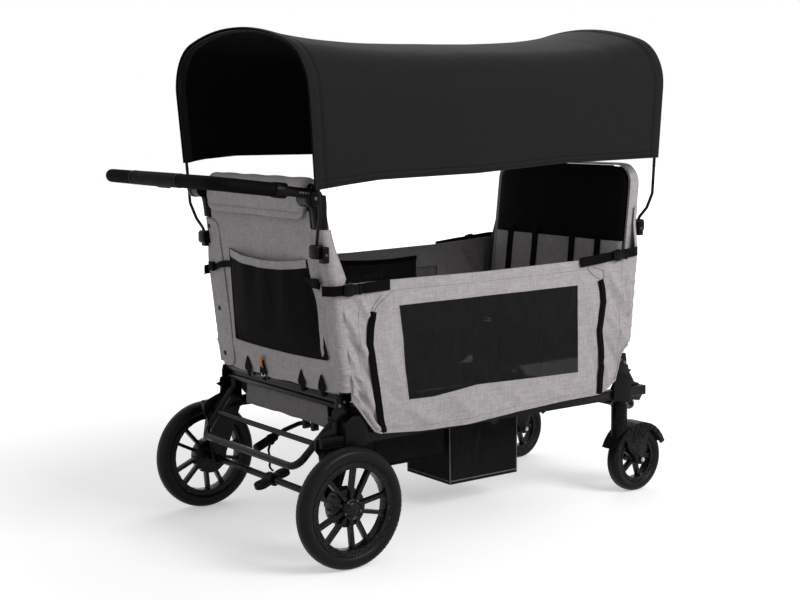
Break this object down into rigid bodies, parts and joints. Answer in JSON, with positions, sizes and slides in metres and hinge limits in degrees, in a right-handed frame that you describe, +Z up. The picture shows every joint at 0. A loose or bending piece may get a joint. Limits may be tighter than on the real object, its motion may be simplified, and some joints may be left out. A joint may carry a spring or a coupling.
{
  "type": "stroller wagon",
  "caption": "Folding stroller wagon with facing benches, cloth sides with mesh windows, arched canopy, pull bar, large rear wheels and swivelling front casters.",
  "frame": {"origin": "centre of the bounding box's base, on the ground under the middle of the wagon", "axes": "+X towards the casters, +Y towards the wagon's left side when facing the casters, +Z up"},
  "size_m": [1.4664, 0.738, 1.2946],
  "materials": {
    "black_metal": "satin black coat",
    "black_plastic": "fine grained moulded plastic",
    "tyre": "soft sheen solid tyre",
    "foam": "matt foam sleeve",
    "grey_cloth": "warm grey heathered weave",
    "black_cloth": "charcoal black weave",
    "mesh_cloth": "black open mesh",
    "board": "flat dark board"
  },
  "bodies": {
    "rear_end": {"rear_axle": "black_metal", "side_plate_rear_left": "black_metal", "side_plate_rear_right": "black_metal", "cross_channel_rear": "black_metal", "bumper_rear": "black_metal", "corner_bracket_rear_left": "black_plastic", "corner_bracket_rear_right": "black_plastic", "post_frame_rear": "black_metal", "canopy_clip_rear_left": "black_plastic", "canopy_clip_rear_right": "black_plastic", "canopy_arch_rear": "black_metal", "end_panel_rear": "grey_cloth", "apron_rear": "grey_cloth", "top_roll_rear": "grey_cloth", "backrest_rear": "grey_cloth", "side_panel_left": "grey_cloth", "side_panel_right": "grey_cloth", "canopy_sheet": "black_cloth"},
    "handle_arms": {"handle_tube_left": "black_metal", "handle_tube_right": "black_metal"},
    "pull_bar": {"handle_bar": "black_metal", "handle_grip": "foam"},
    "pedal": {"brake_pedal": "black_plastic"},
    "rear_wheel_left": {"tyre_rear_left": "tyre", "rim_rear_left": "black_plastic"},
    "rear_wheel_right": {"tyre_rear_right": "tyre", "rim_rear_right": "black_plastic"},
    "rear_floor": {"rail_rear_left": "black_metal", "rail_rear_right": "black_metal", "floor_board_rear": "board", "storage_well_rear": "mesh_cloth"},
    "lever": {"fold_lever": "black_plastic"},
    "rear_bench": {"bench_board_rear": "board", "seat_cushion_rear": "black_cloth"},
    "front_floor": {"rail_front_left": "black_metal", "rail_front_right": "black_metal", "floor_board_front": "board", "foot_well_front": "mesh_cloth"},
    "front_end": {"side_plate_front_left": "black_metal", "side_plate_front_right": "black_metal", "cross_channel_front": "black_metal", "bumper_front": "black_metal", "corner_bracket_front_left": "black_plastic", "corner_bracket_front_right": "black_plastic", "post_frame_front": "black_metal", "canopy_clip_front_left": "black_plastic", "canopy_clip_front_right": "black_plastic", "canopy_arch_front": "black_metal", "end_panel_front": "grey_cloth", "backrest_front": "black_cloth", "caster_housing_left": "black_plastic", "caster_housing_right": "black_plastic"},
    "front_bench": {"bench_board_front": "board", "seat_cushion_front": "black_cloth"},
    "fork_left": {"caster_fork_left": "black_plastic"},
    "fork_right": {"caster_fork_right": "black_plastic"},
    "caster_wheel_left": {"caster_rim_left": "black_plastic", "caster_tyre_left": "tyre"},
    "caster_wheel_right": {"caster_rim_right": "black_plastic", "caster_tyre_right": "tyre"}
  },
  "joints": [
    {"name": "handle_tilt", "type": "hinge", "parent": "rear_end", "child": "handle_arms", "pos_m": [-0.4549, 0, 0.8795], "axis": [0, 1, 0], "range_deg": [-60, 35]},
    {"name": "handle_extend", "type": "slide", "parent": "handle_arms", "child": "pull_bar", "axis": [-0.9907, 0, 0.1357], "range_m": [-0.03, 0.085]},
    {"name": "brake_pedal_tilt", "type": "hinge", "parent": "rear_end", "child": "pedal", "pos_m": [-0.4104, 0, 0.146], "axis": [0, 1, 0], "range_deg": [-18, 18]},
    {"name": "wheel_rear_left_spin", "type": "hinge", "parent": "rear_end", "child": "rear_wheel_left", "pos_m": [-0.4104, 0.3485, 0.146], "axis": [0, 1, 0], "continuous": true},
    {"name": "wheel_rear_right_spin", "type": "hinge", "parent": "rear_end", "child": "rear_wheel_right", "pos_m": [-0.4104, -0.3485, 0.146], "axis": [0, 1, 0], "continuous": true},
    {"name": "fold", "type": "hinge", "parent": "rear_end", "child": "rear_floor", "pos_m": [-0.3449, 0, 0.295], "axis": [0, -1, 0], "range_deg": [0, 75], "deforming": ["side_panel_left", "side_panel_right", "canopy_sheet", "storage_well_rear", "foot_well_front", "seat_cushion_rear", "seat_cushion_front"]},
    {"name": "fold_mid", "type": "hinge", "parent": "rear_floor", "child": "front_floor", "pos_m": [0.0891, 0, 0.276], "axis": [0, -1, 0], "range_deg": [-150, 0]},
    {"name": "fold_front", "type": "hinge", "parent": "front_floor", "child": "front_end", "pos_m": [0.5231, 0, 0.295], "axis": [0, -1, 0], "range_deg": [0, 75]},
    {"name": "bench_rear_fold", "type": "hinge", "parent": "rear_end", "child": "rear_bench", "pos_m": [-0.3559, 0, 0.408], "axis": [0, -1, 0], "range_deg": [0, 75]},
    {"name": "bench_front_fold", "type": "hinge", "parent": "front_end", "child": "front_bench", "pos_m": [0.5341, 0, 0.408], "axis": [0, -1, 0], "range_deg": [-75, 0]},
    {"name": "fold_lever_pull", "type": "hinge", "parent": "rear_floor", "child": "lever", "pos_m": [-0.2999, 0, 0.272], "axis": [0, 1, 0], "range_deg": [0, 12]},
    {"name": "caster_left_swivel", "type": "hinge", "parent": "front_end", "child": "fork_left", "pos_m": [0.5766, 0.243, 0.15], "axis": [0, 0, 1], "continuous": true},
    {"name": "caster_right_swivel", "type": "hinge", "parent": "front_end", "child": "fork_right", "pos_m": [0.5766, -0.243, 0.15], "axis": [0, 0, 1], "continuous": true},
    {"name": "caster_wheel_left_spin", "type": "hinge", "parent": "fork_left", "child": "caster_wheel_left", "pos_m": [0.63428, 0.24906, 0.0928], "axis": [-0.1045, 0.9945, 0], "continuous": true},
    {"name": "caster_wheel_right_spin", "type": "hinge", "parent": "fork_right", "child": "caster_wheel_right", "pos_m": [0.63457, -0.24123, 0.0928], "axis": [-0.0305, 0.9995, 0], "continuous": true}
  ],
  "couplings": [
    {"joint": "fold_mid", "follows": "fold", "ratio": -2},
    {"joint": "fold_front", "follows": "fold", "ratio": 1},
    {"joint": "bench_rear_fold", "follows": "fold", "ratio": 1},
    {"joint": "bench_front_fold", "follows": "fold", "ratio": -1}
  ]
}
